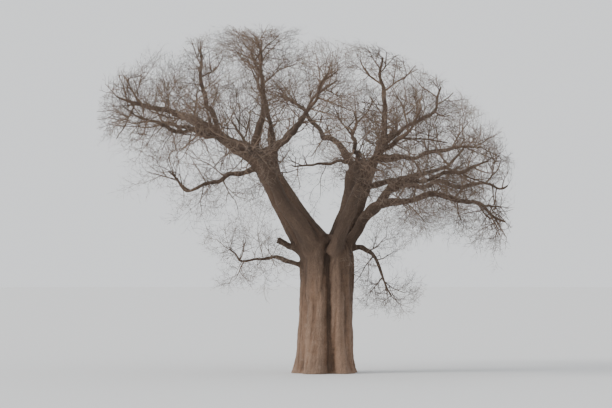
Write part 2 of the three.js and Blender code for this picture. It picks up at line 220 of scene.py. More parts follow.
def trunkRadius(height, bearing):
    form = trunkForm
    wander = form["foldDrift"] * np.cos(height / form["neckHeight"] * math.pi)
    share = 1.0
    for at, width, depth in form["folds"]:
        away = (bearing - at - wander + 180) % 360 - 180
        share = share - depth * np.exp(-((away / width) ** 2))
    count, toeBearing, toeShare = form["toes"]
    toe = 1 + toeShare * np.cos(np.radians((bearing - toeBearing) * count))
    flare = form["flare"] * np.exp(-height / form["flareHeight"]) * toe
    over = np.maximum(0, (height - form["neckHeight"]) / form["headHeight"])
    dome = np.sqrt(np.maximum(0, 1 - over ** form["headSquareness"]))
    column = form["radius"] * (1 - form["taper"] * height / form["neckHeight"])
    return (column * share + flare) * dome


def limbPath(limb, shares):
    t = np.asarray(shares, float)[:, None]
    foot, afterFoot, beforeEnd, end = limb.controls
    curve = (1 - t) ** 3 * foot + 3 * (1 - t) ** 2 * t * afterFoot
    curve = curve + 3 * (1 - t) * t**2 * beforeEnd + t**3 * end
    angle = math.pi * 2 * (t * limb.turns + limb.phase)
    off = limb.length * limbForm["sway"] * np.sin(math.pi * t)
    curve = curve + limb.across * off * np.sin(angle)
    return curve + upward * off * np.cos(angle * limbForm["riseRate"])


def limbRadii(limb, shares):
    shares = np.asarray(shares, float)
    swell = limbForm["trunkSwell"] if limb.onTrunk else limbForm["limbSwell"]
    swollen = 1 + swell * np.exp(-shares * limb.length / (limbForm["swellReach"] * limb.girth))
    return mix(limb.tip, limb.girth, (1 - shares) ** limbForm["taper"]) * swollen


def makeLimb(row, key, limbs):
    name, parent, at, bearing, reach, height, leave, arrive, girth, tip, spread = row
    limb = SimpleNamespace(name=name, key=key, girth=girth, tip=tip, spread=spread)
    limb.onTrunk = parent == "trunk"
    limb.forks = limb.onTrunk and girth >= limbForm["shallow"]
    limb.family = name if limb.onTrunk else limbs[parent].family
    limb.bunch = twigBunches.get(name, limb.family.replace("_limb", ""))
    end = polar(bearing, reach, height)
    if limb.onTrunk:
        foot = polar(bearing, trunkForm["radius"] * limbForm["footShare"] - girth, at)
    else:
        foot = limbPath(limbs[parent], [at])[0]
    chord = end - foot
    limb.length = float(np.linalg.norm(chord))
    course = math.degrees(math.atan2(chord[1], chord[0]))
    afterFoot = foot + heading(course, leave) * limbForm["footHold"] * limb.length
    beforeEnd = end - heading(course, arrive) * limbForm["tipHold"] * limb.length
    limb.controls = (foot, afterFoot, beforeEnd, end)
    limb.across = anyAcross(unit(chord))
    limb.turns = mix(*limbForm["turns"], float(chance(key, useTurns)))
    limb.phase = float(chance(key, usePhase))
    steps = max(limbForm["leastSteps"], math.floor(limb.length / limbForm["step"] + 0.5))
    shares = (np.arange(steps + 1) / steps) ** limbForm["crowding"]
    limb.points = limbPath(limb, shares)
    limb.radii = limbRadii(limb, shares)
    return limb


limbs = {}
for number, row in enumerate(limbRows):
    limbs[row[0]] = makeLimb(row, number + limbForm["firstKey"], limbs)
bearers = [limb for limb in limbs.values() if limb.spread > 0]
print("limbs:", len(limbs))


# The solids stop after the third order, and have three twigs in it where these have four.
# The finer ones follow the same rule.
# draw is the share of the rule's radius that shows, rings and sides are those of the tube.
twigOrders = [
    {"twigs": 1, "steps": 3, "length": 0.82, "girth": 1.0, "draw": 1.0, "rings": 4, "sides": 8},
    {"twigs": 5, "steps": 2, "length": 0.86, "girth": 0.74, "draw": 0.82, "rings": 4, "sides": 6},
    {"twigs": 4, "steps": 1, "length": 0.76, "girth": 0.74, "draw": 0.75, "rings": 4, "sides": 5},
    {"twigs": 5, "steps": 3, "length": 0.74, "girth": 0.74, "draw": 0.64, "rings": 2, "sides": 4},
    {"twigs": 5, "steps": 2, "length": 0.68, "girth": 0.78, "draw": 0.62, "rings": 1, "sides": 3},
    {"twigs": 3, "steps": 1, "length": 0.5, "girth": 0.9, "draw": 1.0, "rings": 1, "sides": 3},
]
twigForm = {
    "taper": 0.42,
    "firstBud": 0.22,
    "bunching": 0.7,
    "angles": (68, 34),
    "angleRange": (0.8, 1.2),
    "lengthRange": (0.8, 1.15),
    "shrink": (1.15, 0.85),
    "crook": 0.62,
    "lift": 0.1,
    "goldenTurn": 137.5,
    "nextTry": 100,
    "tries": 6,
    "shorten": 0.1,
    "margin": 0.025,
    "lowest": 2.3,
    "heart": 0.62,
    "solidOrders": 3,  # how many orders the solids have
    "thinnest": (0.01, 0.008, 0.006, 0.004, 0.003, 0.0027),  # no twig of each order is drawn thinner
    "waver": 0.05,  # how far a long straight twig strays on its way, as a share of its length
    "palest": (0, 1, 1, 1, 2, 2),  # the last of the colours that each order has
    "swollen": 1.3,  # how much thicker a drawn twig is where it leaves its parent
}


def makeTwigs(keys, start, direction, length, thickness, steps):
    # short paths that stray a little at each step and turn up
    points = [start]
    radii = [thickness]
    ahead = direction
    for step in range(1, steps + 1):
        stray = [chance(keys, useCrook + step * 3 + axis) - 0.5 for axis in range(3)]
        ahead = unit(ahead + np.stack(stray, -1) * twigForm["crook"] + upward * twigForm["lift"])
        points.append(points[-1] + ahead * (length / steps)[:, None])
        radii.append(thickness * mix(1, twigForm["taper"], step / steps))
    return np.stack(points, 1), np.stack(radii, 1)


def makeStems():
    # the first twig of each mass, straight on from the tip of its limb
    rule = twigOrders[0]
    gap = 0.0003  # between a bough's tip and the stem, as in the solids
    keys = np.array([limb.key for limb in bearers])
    ends = np.array([limb.points[-1] for limb in bearers])
    ahead = unit(ends - np.array([limb.points[-2] for limb in bearers]))
    length = np.array([limb.spread for limb in bearers]) * rule["length"]
    thickness = np.array([limb.tip for limb in bearers])
    start = ends + ahead * gap
    points, radii = makeTwigs(keys, start, ahead, length, thickness, rule["steps"])
    points[:, 1] = start + ahead * (length / rule["steps"])[:, None]
    return SimpleNamespace(key=keys, mass=np.arange(len(keys)), points=points, radii=radii, length=length)


stems = makeStems()
print("stems:", len(stems.key))
centres = mix(stems.points[:, 0], stems.points[:, -1], twigForm["heart"])
spreads = np.array([limb.spread for limb in bearers])
apart = np.linalg.norm(centres[:, None] - centres, axis=2)


def listStretches():
    # the straight stretches of limbs and stems. Twigs keep clear of all but those of their own mass's stem
    noMass = -2
    paths = [(limb.points, limb.radii, noMass) for limb in limbs.values()]
    paths += [(points, radii, mass) for mass, (points, radii) in enumerate(zip(stems.points, stems.radii))]
    starts = np.concatenate([points[:-1] for points, radii, owner in paths])
    ways = np.concatenate([points[1:] for points, radii, owner in paths]) - starts
    thick = np.concatenate([radii[:-1] for points, radii, owner in paths])
    owners = np.concatenate([np.full(len(radii) - 1, owner) for points, radii, owner in paths])
    return starts, ways, (ways**2).sum(1), thick, owners


stretchStarts, stretchWays, stretchSquares, stretchThick, stretchOwners = listStretches()


def touchesLimb(spots, radii, masses):
    out = spots[:, None] - stretchStarts
    along = np.clip((out * stretchWays).sum(2) / stretchSquares, 0, 1)
    gaps = np.linalg.norm(out - along[..., None] * stretchWays, axis=2)
    near = gaps < stretchThick + radii[:, None] + twigForm["margin"]
    return (near & (stretchOwners != masses[:, None])).any(1)


# The crown's outline: an ellipsoid above its middle, tilted, and straight down below it
crownForm = {"x": -0.85, "z": 10.1, "halfWidth": 9.7, "halfDepth": 8.75, "rise": 5.29, "tilt": 11}
lightForm = {
    "depths": (1.4, 5.8),  # metres in from the crown's outline, where the fine twigs get fewer
    "under": 9.4,  # height under which they do not
    "fade": 2.4,
    "reach": 1.02,  # of the outline: how far the finest twigs grow
    "ragged": 0.09,  # how unevenly they end short of that
    "cell": 1.0,
    "most": (9, 12, 5, 9, 30, 72),  # tips of each order in a cell
}


def crownShare(spots, radii):
    # how far out in the crown a spot lies: below 1 inside its outline, and its way from the middle
    tilt = math.radians(crownForm["tilt"])
    across = spots[:, 0] - crownForm["x"]
    over = spots[:, 2] - crownForm["z"]
    along = across * math.cos(tilt) - over * math.sin(tilt)
    rise = across * math.sin(tilt) + over * math.cos(tilt)
    wide = along / (crownForm["halfWidth"] - radii)
    deep = spots[:, 1] / (crownForm["halfDepth"] - radii)
    high = np.maximum(rise, 0) / (crownForm["rise"] - radii)
    way = np.sqrt(along**2 + spots[:, 1] ** 2 + np.maximum(rise, 0) ** 2)
    return np.sqrt(wide**2 + deep**2 + high**2), way


def inLight(tips, keys):
    # the fine twigs deep inside the crown have mostly died off, and those under it have not
    share, way = crownShare(tips, 0)
    under = np.clip((lightForm["under"] - tips[:, 2]) / lightForm["fade"], 0, 1)
    depth = way * (1 / np.maximum(share, 0.01) - 1) * (1 - under)
    return depth < mix(*lightForm["depths"], chance(keys, useLight))


def notCrowded(tips, keys, most):
    # no more than so many tips to a cell, so the twigs spread evenly over the crown
    cells, cell = np.unique(np.floor(tips / lightForm["cell"]).astype(int), axis=0, return_inverse=True)
    cell = cell.ravel()
    ranked = np.lexsort((chance(keys, useRank), cell))
    first = np.searchsorted(cell[ranked], np.arange(len(cells)))
    rank = np.empty(len(keys), int)
    rank[ranked] = np.arange(len(keys)) - first[cell[ranked]]
    return rank < most


def inSpace(spots, radii, masses, limit):
    # in its mass's ball, cut by the planes between the masses. A twig of no mass has the whole crown.
    free = masses < 0
    own = np.where(free, 0, masses)
    beyond = ((spots[:, None] - centres) ** 2).sum(2) - spreads**2
    mine = beyond[np.arange(len(spots)), own]
    between = 2 * apart[own]
    between[np.arange(len(spots)), own] = 1
    room = (beyond - mine[:, None]) / between
    room[np.arange(len(spots)), own] = np.inf
    kept = (mine <= -2 * spreads[own] * radii) & (room > (radii + twigForm["margin"])[:, None]).all(1)
    share = crownShare(spots, radii)[0]
    return (kept | free) & (share < limit) & (spots[:, 2] >= twigForm["lowest"])


def fits(points, radii, masses, boxed, limit):
    # whether each twig keeps to its space and off the limbs at every one of its points
    good = np.ones(len(points), bool)
    chunk = 3000
    for ring in range(1, points.shape[1]):
        for first in range(0, len(points), chunk):
            part = slice(first, first + chunk)
            spots, thick = points[part, ring], radii[part, ring]
            good[part] &= inSpace(spots, thick, masses[part], limit[part])
            good[part] &= ~touchesLimb(spots, thick, masses[part])
            if boxed:
                good[part] &= ((spots - thick[:, None] > cadLow) & (spots + thick[:, None] < cadHigh)).all(1)
    return good


def placeTwigs(order, keys, masses, spot, ahead, radius, reach, lean, roll, boxed=False):
    # each twig is tried round its parent until it keeps to its space and clear of the limbs
    rule = twigOrders[order]
    boxed = boxed or order >= twigForm["solidOrders"]
    points = np.zeros((len(keys), rule["steps"] + 1, 3))
    radii = np.zeros((len(keys), rule["steps"] + 1))
    waiting = np.arange(len(keys))
    limit = np.ones(len(keys))
    if boxed:
        limit = lightForm["reach"] - lightForm["ragged"] * chance(keys, useReach)
    across = anyAcross(ahead)
    tilted = np.cross(across, ahead)
    turned = np.cross(ahead, tilted)
    for turn in range(twigForm["tries"]):
        w = waiting
        angle = np.radians(roll[w] + turn * twigForm["nextTry"])[:, None]
        tip = np.radians(lean[w])[:, None]
        side = tilted[w] * np.cos(angle) + turned[w] * np.sin(angle)
        out = ahead[w] * np.cos(tip) + side * np.sin(tip)
        length = reach[w] * (1 - turn * twigForm["shorten"])
        made, thick = makeTwigs(keys[w], spot[w], out, length, radius[w] * rule["girth"], rule["steps"])
        good = fits(made, thick, masses[w], boxed, limit[w])
        points[w[good]] = made[good]
        radii[w[good]] = thick[good]
        waiting = w[~good]
        if not len(waiting):
            break
    kept = np.ones(len(keys), bool)
    kept[waiting] = False
    if boxed:
        kept &= inLight(points[:, -1], keys)
        kept[kept] = notCrowded(points[kept, -1], keys[kept], lightForm["most"][order])
    length = np.linalg.norm(np.diff(points, axis=1), axis=2).sum(1)
    return SimpleNamespace(
        key=keys[kept], mass=masses[kept], points=points[kept], radii=radii[kept], length=length[kept]
    ), kept


def childKeys(keys, numbers):
    # the keys of the twigs that grow from others
    return np.floor(chance(keys, useChild + numbers) * mostKeys).astype(np.int64)


def tintOf(keys):
    # which colour a spray of twigs has
    return np.floor(chance(keys, useTint) * len(twigColours)).astype(int)


def spotsAlong(batch, at, share):
    # for paths by number: the point at a share of each, the way that it takes there, and its radius
    last = batch.points.shape[1] - 1
    step = np.minimum(np.floor(share * last).astype(int), last - 1)
    part = share * last - step
    before, after = batch.points[at, step], batch.points[at, step + 1]
    radius = mix(batch.radii[at, step], batch.radii[at, step + 1], part)
    return mix(before, after, part[:, None]), unit(after - before), radius


def budTwigs(parents, order):
    # the twigs of one order, from those of the order before
    rule = twigOrders[order]
    count = rule["twigs"]
    at = np.repeat(np.arange(len(parents.key)), count)
    bud = np.tile(np.arange(count), len(parents.key))
    keys = childKeys(parents.key[at], bud)
    place = (bud + twigForm["bunching"] * chance(keys, useShare)) / count
    share = np.where(bud == count - 1, 1.0, mix(twigForm["firstBud"], 1, place))
    spot, ahead, radius = spotsAlong(parents, at, share)
    reach = parents.length[at] * rule["length"] * mix(*twigForm["shrink"], share)
    reach = reach * mix(*twigForm["lengthRange"], chance(keys, useLength))
    lean = mix(*twigForm["angles"], share) * mix(*twigForm["angleRange"], chance(keys, useAngle))
    roll = chance(parents.key[at], useRoll) * 360 + bud * twigForm["goldenTurn"]
    masses = parents.mass[at]
    if order >= twigForm["solidOrders"]:
        masses = np.full(len(at), -1)  # finer twigs than the solids have mingle with those of the next mass
    made, kept = placeTwigs(order, keys, masses, spot, ahead, radius, reach, lean, roll)
    made.bunch = parents.bunch[at][kept]
    made.tint = parents.tint[at][kept]
    if order == 1:
        made.tint = tintOf(made.key)
    return made


sproutForm = {  # twigs along the limbs, short of their tips
    "start": 0.52,  # share along a limb that grows from the trunk, where they begin
    "startHigh": 0.36,  # and along one that grows from another limb
    "gap": 0.2,
    "length": (1.0, 2.1),
    "girth": 0.5,  # share of the limb's radius where a twig leaves it
    "most": 0.055,  # and the greatest radius
    "last": 0.97,  # share along a limb, where they end
    "scatter": 0.8,  # share of the gap that their places change by
    "shortest": 0.75,  # share of the length at a limb's tip
    "onward": 0.01,  # share of a limb over which its way is measured
    "lean": (58, 82),
}


def sproutTwigs():
    # twigs of the second order that grow from the limbs themselves, with the whole crown for a space
    gathered = []
    for limb in bearers:
        start = sproutForm["start"] if limb.onTrunk else sproutForm["startHigh"]
        count = max(0, int(limb.length * (1 - start) / sproutForm["gap"]))
        keys = childKeys(limb.key, np.arange(count))
        place = np.arange(count) + sproutForm["scatter"] * chance(keys, useShare)
        share = np.minimum(mix(start, 1, place / max(count, 1)), sproutForm["last"])
        spot = limbPath(limb, share)
        ahead = unit(limbPath(limb, share + sproutForm["onward"]) - spot)
        radius = np.minimum(limbRadii(limb, share) * sproutForm["girth"], sproutForm["most"])
        gathered.append((keys, spot, ahead, radius, share, np.full(count, list(limbs).index(limb.name))))
    keys, spot, ahead, radius, share, owner = (np.concatenate(part) for part in zip(*gathered))
    reach = mix(*sproutForm["length"], chance(keys, useLength)) * mix(1, sproutForm["shortest"], share)
    lean = mix(*sproutForm["lean"], chance(keys, useAngle))
    roll = np.arange(len(keys)) * twigForm["goldenTurn"]
    return keys, spot, ahead, radius, reach, lean, roll, owner


stemForm = {  # twigs along the stem of each mass
    "twigs": 6,
    "start": 0.3,
    "length": (0.8, 1.3),
    "shortest": 0.5,  # share of that at the stem's tip
    "lean": (40, 80),
    "thick": 0.026,
    "otherKeys": 7,  # added to a stem's key, so that these differ from its other twigs
    "past": 0.06,  # share of its last step that a stem goes on past its last twig
    "least": 0.2,  # share of that step which is always left
}


def stemTwigs():
    # twigs of the third order that grow from the stems, so that no stem ends bare
    count = stemForm["twigs"]
    at = np.repeat(np.arange(len(stems.key)), count)
    turn = np.tile(np.arange(count), len(stems.key))
    keys = childKeys(stems.key[at] + stemForm["otherKeys"], turn)
    share = mix(stemForm["start"], 1, turn / (count - 1))
    spot, ahead = spotsAlong(stems, at, share)[:2]
    reach = mix(*stemForm["length"], chance(keys, useLength)) * mix(1, stemForm["shortest"], share)
    lean = mix(*stemForm["lean"], chance(keys, useAngle))
    radius = np.full(len(at), stemForm["thick"])
    roll = turn * twigForm["goldenTurn"] + chance(stems.key[at], useRoll) * 360
    loose = np.full(len(at), -1)
    made, kept = placeTwigs(2, keys, loose, spot, ahead, radius, reach, lean, roll, True)
    made.bunch = stems.bunch[at][kept]
    made.tint = tintOf(made.key)
    return made


def growCrown():
    # every twig of every order, as one batch of arrays to an order
    names = list(limbs)
    bunchNames = list(dict.fromkeys(limb.bunch for limb in bearers))
    bunchOf = np.array([bunchNames.index(limb.bunch) if limb in bearers else -1 for limb in limbs.values()])
    stems.bunch = bunchOf[[names.index(limb.name) for limb in bearers]]
    stems.tint = np.zeros(len(stems.key), int)
    grown = [stems]
    for order in range(1, len(twigOrders)):
        made = budTwigs(grown[-1], order)
        if order == 1:
            keys, spot, ahead, radius, reach, lean, roll, owner = sproutTwigs()
            loose = np.full(len(keys), -1)
            sprouts, kept = placeTwigs(1, keys, loose, spot, ahead, radius, reach, lean, roll, True)
            sprouts.bunch = bunchOf[owner[kept]]
            sprouts.tint = tintOf(sprouts.key)
            made = joinBatches(made, sprouts)
        if order == 2:
            made = joinBatches(made, stemTwigs())
            waverPaths(made, twigOrders[order]["rings"])
        print("twigs of order", order, ":", len(made.key), "in masses", (made.mass >= 0).sum())
        grown.append(made)
    trimStems(grown)
    return grown, bunchNames


def trimStems(grown):
    # a stem ends just past its last twig, and not in a bare stick
    touch = 0.001
    starts = np.concatenate([batch.points[:, 0] for batch in grown[1:3]])
    for mass, (before, tip) in enumerate(zip(stems.points[:, -2], stems.points[:, -1])):
        way = tip - before
        part = (starts - before) @ way / (way @ way)
        off = np.linalg.norm(starts - before - part[:, None] * way, axis=1)
        held = part[(off < touch) & (part > 0) & (part < 1 + touch)]
        cut = min(held.max(initial=stemForm["least"]) + stemForm["past"], 1)
        stems.points[mass, -1] = before + way * cut
        stems.radii[mass, -1] = mix(*stems.radii[mass, -2:], cut)


def joinBatches(one, other):
    joined = {name: np.concatenate([values, getattr(other, name)]) for name, values in vars(one).items()}
    return SimpleNamespace(**joined)


def waverPaths(batch, rings):
    # straight twigs of one step get points on their way, each a little off the line
    start, end = batch.points[:, 0], batch.points[:, -1]
    across = anyAcross(unit(end - start))
    over = np.cross(unit(end - start), across)
    points = []
    for ring in range(rings + 1):
        share = ring / rings
        off = batch.length * twigForm["waver"] * math.sin(math.pi * share) * 2
        sideways = off * (chance(batch.key, useWaver + ring) - 0.5)
        upways = off * (chance(batch.key, useWaver + rings + 1 + ring) - 0.5)
        points.append(mix(start, end, share) + across * sideways[:, None] + over * upways[:, None])
    shares = np.linspace(0, 1, rings + 1)
    batch.radii = batch.radii[:, :1] * mix(1, twigForm["taper"], shares)
    batch.points = np.stack(points, 1)


def curvePaths(points, radii, rings):
    # a smooth curve through each path's points, with so many rings to a step
    steps = points.shape[1] - 1
    if rings == 1:
        return points, radii
    before = 2 * points[:, :1] - points[:, 1:2]
    after = 2 * points[:, -1:] - points[:, -2:-1]
    held = np.concatenate([before, points, after], 1)
    curve = []
    thick = []
    for step in range(steps):
        a, b, c, d = (held[:, step + k] for k in range(4))
        for ring in range(rings):
            t = ring / rings
            bend = (2 * a - 5 * b + 4 * c - d) * t**2 + (3 * b - a - 3 * c + d) * t**3
            curve.append(0.5 * (2 * b + (c - a) * t + bend))
            thick.append(mix(radii[:, step], radii[:, step + 1], t))
    curve.append(points[:, -1])
    thick.append(radii[:, -1])
    return np.stack(curve, 1), np.stack(thick, 1)


def tubeArrays(points, radii, sides, blunt):
    # closed tubes round many paths at once, with a flat end or a point just past the last ring
    count, rings = radii.shape
    ahead = np.empty_like(points)
    ahead[:, 1:-1] = points[:, 2:] - points[:, :-2]
    ahead[:, 0] = points[:, 1] - points[:, 0]
    ahead[:, -1] = points[:, -1] - points[:, -2]
    ahead = unit(ahead)
    angles = np.arange(sides) * 2 * math.pi / sides
    side = anyAcross(ahead[:, 0])
    corners = []
    for ring in range(rings):
        forward = ahead[:, ring]
        side = unit(side - forward * (side * forward).sum(1, keepdims=True))
        over = np.cross(forward, side)
        out = side[:, None] * np.cos(angles)[:, None] + over[:, None] * np.sin(angles)[:, None]
        corners.append(points[:, ring, None] + out * radii[:, ring, None, None])
    if not blunt:
        corners.append((points[:, -1] + ahead[:, -1] * radii[:, -1:])[:, None])
    corners = np.concatenate(corners, 1)
    a = np.arange(sides)
    b = (a + 1) % sides
    triangles = [np.stack([np.zeros(sides - 2, int), a[2:], a[1:-1]], 1)]
    for ring in range(rings - 1):
        low, high = ring * sides, (ring + 1) * sides
        triangles.append(np.stack([a + low, b + low, b + high], 1))
        triangles.append(np.stack([a + low, b + high, a + high], 1))
    low = (rings - 1) * sides
    if blunt:
        triangles.append(np.stack([np.full(sides - 2, low), a[1:-1] + low, a[2:] + low], 1))
    else:
        triangles.append(np.stack([a + low, b + low, np.full(sides, rings * sides)], 1))
    triangles = np.concatenate(triangles)
    step = corners.shape[1]
    every = triangles + (np.arange(count) * step)[:, None, None]
    return corners.reshape(-1, 3), every.reshape(-1, 3), len(triangles)


def placeObject(name, data):
    placed = bpy.data.objects.new(name, data)
    bpy.context.scene.collection.objects.link(placed)
    return placed


def finishedMesh(bm, name):
    mesh = bpy.data.meshes.new(name)
    bm.to_mesh(mesh)
    bm.free()
    return mesh


def meshFromArrays(name, corners, faces, tints=None):
    # one mesh of many twigs, or of a part of the skin of bark
    mesh = bpy.data.meshes.new(name)
    sides = faces.shape[1]
    mesh.vertices.add(len(corners))
    mesh.vertices.foreach_set("co", corners.astype(np.float32).ravel())
    mesh.loops.add(faces.size)
    mesh.loops.foreach_set("vertex_index", faces.astype(np.int32).ravel())
    mesh.polygons.add(len(faces))
    mesh.polygons.foreach_set("loop_start", np.arange(0, faces.size, sides, dtype=np.int32))
    if tints is not None:
        mesh.polygons.foreach_set("material_index", tints.astype(np.int32))
    mesh.update(calc_edges=True)
    mesh.shade_smooth()
    return mesh


def addPiece(name, mesh, materials, nodes):
    piece = placeObject(name, mesh)
    for material in materials:
        mesh.materials.append(material)
    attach(piece, "root")
    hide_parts(*nodes)
    return piece


def buildTwigs(grown, bunchNames, materials):
    # one piece to each bunch of limbs, which stands for its masses
    total = 0
    for bunch, bunchName in enumerate(bunchNames):
        corners = []
        triangles = []
        tints = []
        count = 0
        for order, batch in enumerate(grown):
            rule = twigOrders[order]
            mine = batch.bunch == bunch
            if not mine.any():
                continue
            rings = 1 if order == 2 else rule["rings"]  # the third order has its rings already
            points, radii = curvePaths(batch.points[mine], batch.radii[mine], rings)
            radii = np.maximum(radii * rule["draw"], twigForm["thinnest"][order])
            if order > 0:
                radii[:, 0] *= twigForm["swollen"]
            spots, faces, each = tubeArrays(points, radii, rule["sides"], rule["sides"] == 3)
            corners.append(swayed(spots))
            triangles.append(faces + count)
            tint = np.minimum(batch.tint[mine], twigForm["palest"][order])
            tints.append(np.repeat(tint, each))
            count += len(spots)
        triangles = np.concatenate(triangles)
        name = bunchName + "_twigwork"
        mesh = meshFromArrays(name, np.concatenate(corners), triangles, np.concatenate(tints))
        nodes = [limb.name.replace("_limb", "_twigs") for limb in bearers if limb.bunch == bunchName]
        addPiece(name, mesh, materials, nodes)
        print(name, len(triangles), "triangles")
        total += len(triangles)
    print("twigs in all:", total, "triangles")


barkForm = {
    "voxel": 0.036,
    "ring": 0.25,  # between the rings of a limb before it is remeshed
    "ownerGap": 0.08,  # between the points of a limb that the skin's corners are measured from
    "nearReach": 1.6,  # of a limb's thickest radius: how far from it they are measured
    "sides": 24,
    "trunkSides": 180,
    "trunkRing": 0.06,
    "trunkLeast": (0.01, 0.03),  # how far the head stops short of its tip, and the least radius there
    "past": ((0.2, 0.8), (0.45, 0.4)),  # how far a limb runs on inside its mass's stem, and how thick
    "evenPasses": 8,
    "evenSteps": (0.5, -0.52),  # of the way to the neighbours' mean and back, so nothing shrinks
    "filletPasses": 36,
    "filletReach": 0.34,
    "filletStep": 0.6,
    "creaseRelief": 0.7,  # share of the relief that is lost where two limbs meet
    "reliefPasses": 3,
    "finePasses": 10,
    "fineDepth": 0.012,
    "fineShare": 0.4,
    "broadPasses": 90,
    "broadDepth": 0.07,
    "footHeight": 0.08,  # what faces down and lies lower is the flat cut
    "swayThick": (0.45, 0.25),  # limbs thicker than the first don't sway, thinner than the second do in full
    "darkNeck": (3.0, 5.1, 0.34),  # painted shade under the fork, with stains: the trunk darkens between these heights, down to this value
    "limbAgeAndShade": 0.62,  # value of a limb as thick as a metre would be: limbs are darker, partly as young bark and partly as painted shade
    "blendPasses": 60,
    "calmReach": 0.2,  # the finest relief and the stains fade out this near to where two limbs meet
    "noCollar": -9,
}
stubForm = {
    "splinter": 0.04,
    "waves": ((3, 0, 1), (5, 1, 0.7)),  # how many go round the broken end, where they begin, and how high
    "uneven": 0.5,
    "wall": 0.45,
    "hollow": 0.14,
}
cleftForm = {  # the cleft down the front is deeper than the solid's fold, most so at the foot and the fork
    "bearing": 277,
    "width": 14,
    "depth": 0.07,
    "footDepth": 0.1,
    "footHeight": 1.2,
    "footWidth": 8,
    "forkDepth": 0.16,
    "forkHeight": 3.4,
    "forkFade": 1.5,
    "forkWidth": 6,
}

# The relief of the bark, layer by layer: height in metres where the limb is as thick as full or more,
# how many waves go round, or how wide they are where round is 0, and how long they are.
# A layer with grooves has narrow valleys between rounded backs, softened and cut off at the top.
grooveForm = {"soft": 0.002, "top": 0.6, "level": 0.4}
reliefLayers = [
    {"height": 0.06, "full": 1.0, "round": 1.7, "wide": 0, "long": 2.4, "grooves": False},
    {"height": 0.11, "full": 1.0, "round": 3.6, "wide": 0, "long": 3.4, "grooves": True},
    {"height": 0.035, "full": 0.9, "round": 8.5, "wide": 0, "long": 1.7, "grooves": True},
    {"height": 0.034, "full": 0.6, "round": 0, "wide": 0.55, "long": 0.7, "grooves": False},
    {"height": 0.016, "full": 0.4, "round": 0, "wide": 0.2, "long": 0.2, "grooves": False},
    {"height": 0.014, "full": 0.5, "round": 0, "wide": 0.8, "long": 0.13, "grooves": True},
]


def sweepTube(bm, places, sides):
    # a closed tube: a disc that is extruded from place to place
    ring = bmesh.ops.create_circle(bm, cap_ends=True, segments=sides, radius=1, matrix=places[0])["verts"]
    cap = ring[0].link_faces[0]
    for before, after in zip(places, places[1:]):
        grown = bmesh.ops.extrude_face_region(bm, geom=[cap])["geom"]
        ring = [part for part in grown if isinstance(part, bmesh.types.BMVert)]
        cap = next(part for part in grown if isinstance(part, bmesh.types.BMFace))
        bmesh.ops.transform(bm, matrix=after @ before.inverted(), verts=ring)


def placesAlong(points, radii):
    # the places of a tube's rings, turned along its path without a twist
    places = []
    ahead = Vector(points[1] - points[0]).normalized()
    turned = ahead.to_track_quat("Z", "Y")
    for step, (point, radius) in enumerate(zip(points, radii)):
        before, after = points[max(step - 1, 0)], points[min(step + 1, len(points) - 1)]
        forward = Vector(after - before).normalized()
        turned = ahead.rotation_difference(forward) @ turned
        ahead = forward
        size = Matrix.Diagonal((radius, radius, 1, 1))
        places.append(Matrix.Translation(point) @ turned.to_matrix().to_4x4() @ size)
    return places


def cleftDepth(heights, bearings):
    form = cleftForm
    wander = trunkForm["foldDrift"] * np.cos(heights / trunkForm["neckHeight"] * math.pi)
    foot = np.clip(1 - heights / form["footHeight"], 0, 1)
    fork = np.clip((heights - form["forkHeight"]) / form["forkFade"], 0, 1)
    width = form["width"] + form["footWidth"] * foot**2 + form["forkWidth"] * fork
    away = (bearings - form["bearing"] - wander + 180) % 360 - 180
    depth = form["depth"] + form["footDepth"] * foot + form["forkDepth"] * fork
    return trunkForm["radius"] * depth * np.exp(-((away / width) ** 2))


def coreTrunk():
    # the fluted column, from an extruded disc whose rings are drawn out to the trunk's form
    bm = bmesh.new()
    short, leastRadius = barkForm["trunkLeast"]
    top = trunkForm["neckHeight"] + trunkForm["headHeight"] - short
    count = int(top / barkForm["trunkRing"])
    places = [Matrix.Translation((0, 0, top * step / count)) for step in range(count + 1)]
    sweepTube(bm, places, barkForm["trunkSides"])
    bearings = np.degrees([math.atan2(vert.co.y, vert.co.x) for vert in bm.verts])
    heights = np.array([vert.co.z for vert in bm.verts])
    radii = np.maximum(trunkRadius(heights, bearings) - cleftDepth(heights, bearings), leastRadius)
    for vert, radius in zip(bm.verts, radii):
        lean = trunkForm["lean"] * vert.co.z / trunkForm["neckHeight"]
        vert.co = (vert.co.x * radius + lean, vert.co.y * radius, vert.co.z)
    return finishedMesh(bm, "core")


def limbRun(limb, gap):
    # points along a limb, its thickness and the way to there, on into the stem of its mass
    shares = np.linspace(0, 1, int(limb.length / gap) + 2)
    points, radii, along = limbPath(limb, shares), limbRadii(limb, shares), shares * limb.length
    if limb.spread > 0:
        ahead = unit(limb.points[-1] - limb.points[-2])
        past = np.array(barkForm["past"])
        points = np.concatenate([points, limb.points[-1] + past[:, :1] * ahead])
        radii = np.concatenate([radii, limb.tip * past[:, 1]])
        along = np.concatenate([along, limb.length + past[:, 0]])
    return points, radii, along


def coreLimb(limb):
    bm = bmesh.new()
    points, radii = limbRun(limb, barkForm["ring"])[:2]
    sweepTube(bm, placesAlong(points, radii), barkForm["sides"])
    if limb.spread == 0:
        breakEnd(bm, Vector(points[-1] - points[-2]).normalized(), limb)
    return finishedMesh(bm, "core")


